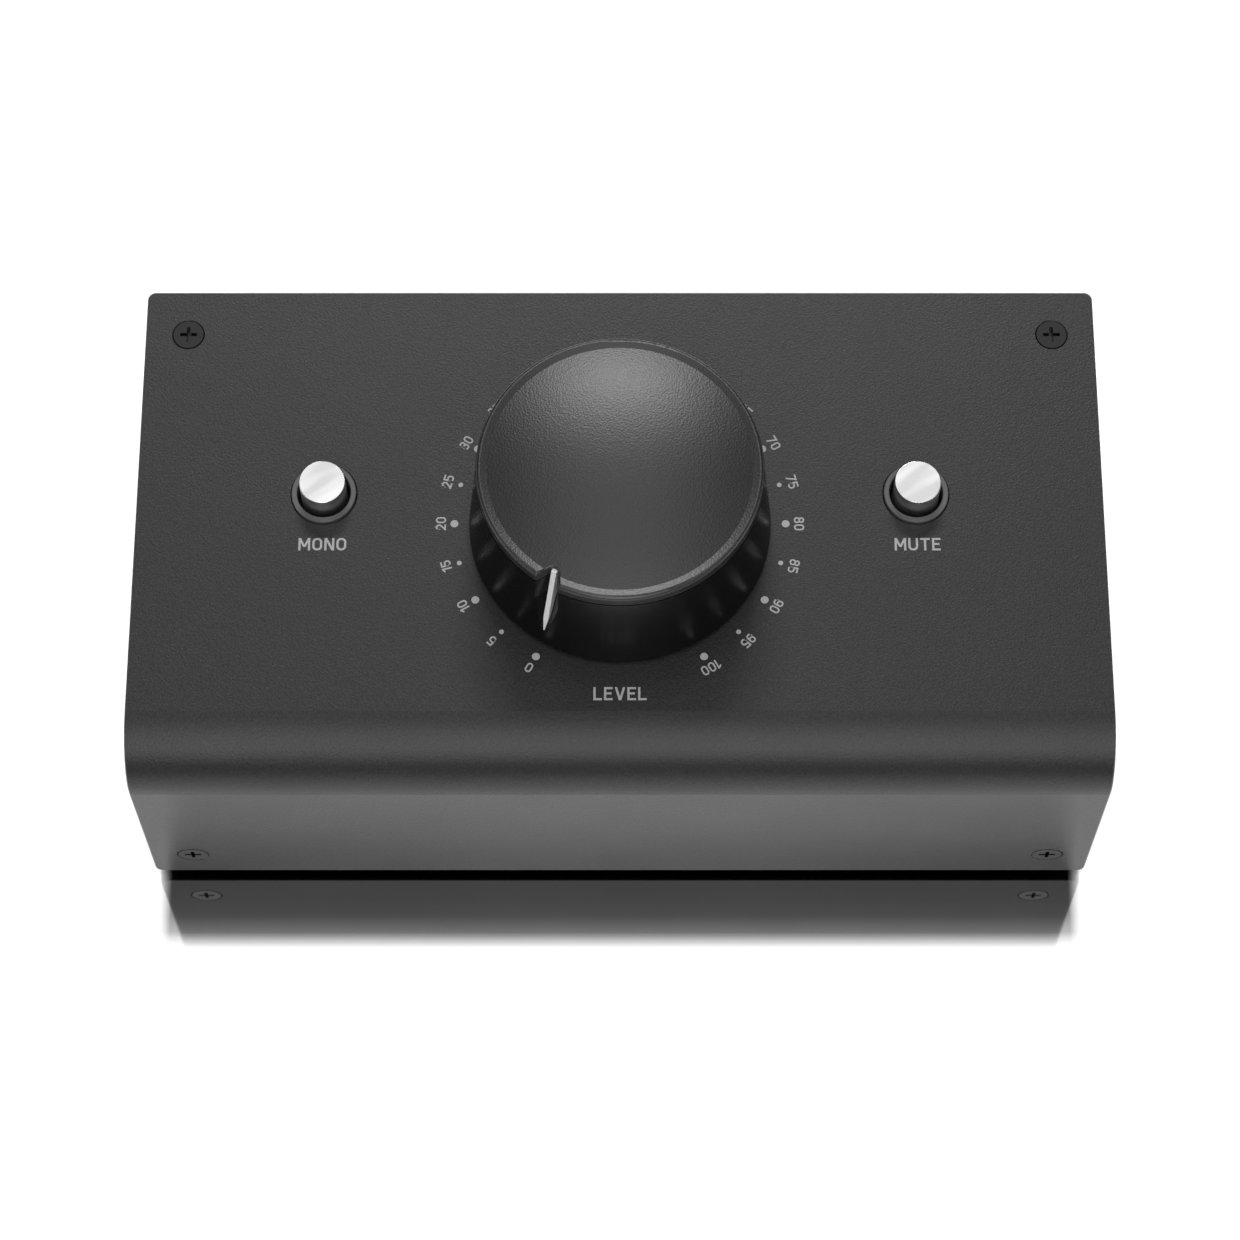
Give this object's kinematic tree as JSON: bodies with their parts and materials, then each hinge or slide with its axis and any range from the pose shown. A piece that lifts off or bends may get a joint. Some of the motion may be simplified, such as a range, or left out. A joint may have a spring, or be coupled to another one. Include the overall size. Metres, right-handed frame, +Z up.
{
  "type": "studio monitor controller",
  "caption": "Desktop level controller in a folded metal case, with a large dial knob, push buttons and rear sockets.",
  "frame": {"origin": "on the table, under the centre of the whole object's box", "axes": "+X to the right of a person facing the front, +Y to the rear sockets, +Z up"},
  "size_m": [0.13, 0.0742, 0.0612],
  "materials": {
    "cover_paint": "fine-grained satin charcoal paint",
    "chassis_paint": "satin charcoal paint",
    "screw_black": "blackened steel",
    "foot_rubber": "matt black rubber",
    "knob_gloss": "glossy black plastic",
    "knob_satin": "satin dark grey with a fine leather-like grain",
    "pointer_white": "smooth off-white plastic",
    "button_silver": "satin silver",
    "bezel_grey": "smooth dark grey",
    "jack_black": "moulded black plastic",
    "nickel": "nickel plate",
    "contact_metal": "tinned brass",
    "bare_steel": "bare steel",
    "spring_steel": "spring steel",
    "phenolic_brown": "phenolic",
    "track_black": "carbon film",
    "inner_white": "natural nylon",
    "inner_black": "black plastic",
    "board_green": "solder mask",
    "resistor_blue": "lacquer",
    "ribbon_grey": "flat cable jacket"
  },
  "bodies": {
    "case": {"top_cover": "cover_paint", "base_chassis": "chassis_paint", "rear_panel": "chassis_paint", "rear_panel_screws": "screw_black", "cover_screws": "screw_black", "rubber_feet": "foot_rubber", "pot_tracks": "track_black", "pot_can": "bare_steel", "pot_bushing": "nickel", "pot_washer": "nickel", "pot_nut": "nickel", "pot_terminals": "contact_metal", "mono_spring": "spring_steel", "mute_spring": "spring_steel", "mono_bezel": "bezel_grey", "mute_bezel": "bezel_grey", "mono_switch_body": "inner_black", "mute_switch_body": "inner_black", "mono_switch_pins": "contact_metal", "mute_switch_pins": "contact_metal", "control_board": "board_green", "jack_board": "board_green", "summing_resistors": "resistor_blue", "upper_header": "inner_black", "lower_header": "inner_black", "ribbon_cable": "ribbon_grey", "left_input_jack": "jack_black", "right_input_jack": "jack_black", "left_input_contacts": "contact_metal", "right_input_contacts": "contact_metal", "input_jack_screws": "screw_black", "left_output_jack": "jack_black", "right_output_jack": "jack_black", "left_output_contacts": "contact_metal", "right_output_contacts": "contact_metal", "output_washers": "nickel", "output_nuts": "nickel", "aux_input_jack": "jack_black", "aux_input_contacts": "contact_metal", "aux_input_nut": "nickel"},
    "volume_knob": {"knob_skirt": "knob_gloss", "knob_cap": "knob_satin", "knob_pointer": "pointer_white", "knob_grip_ring": "spring_steel", "pot_shaft": "bare_steel", "pot_wipers": "phenolic_brown"},
    "mono_button": {"mono_cap": "button_silver", "mono_plunger": "inner_white"},
    "mute_button": {"mute_cap": "button_silver", "mute_plunger": "inner_white"}
  },
  "joints": [
    {"name": "volume_turn", "type": "hinge", "parent": "case", "child": "volume_knob", "pos_m": [0, -0.00165, 0.0416], "axis": [0, 0, 1], "range_deg": [-300, 0]},
    {"name": "mono_press", "type": "slide", "parent": "case", "child": "mono_button", "axis": [0, 0, -1], "range_m": [0, 0.0025], "stiffness_N_per_m": 500, "springref_m": -0.002, "deforming": ["mono_spring"]},
    {"name": "mute_press", "type": "slide", "parent": "case", "child": "mute_button", "axis": [0, 0, -1], "range_m": [0, 0.0025], "stiffness_N_per_m": 500, "springref_m": -0.002, "deforming": ["mute_spring"]}
  ]
}
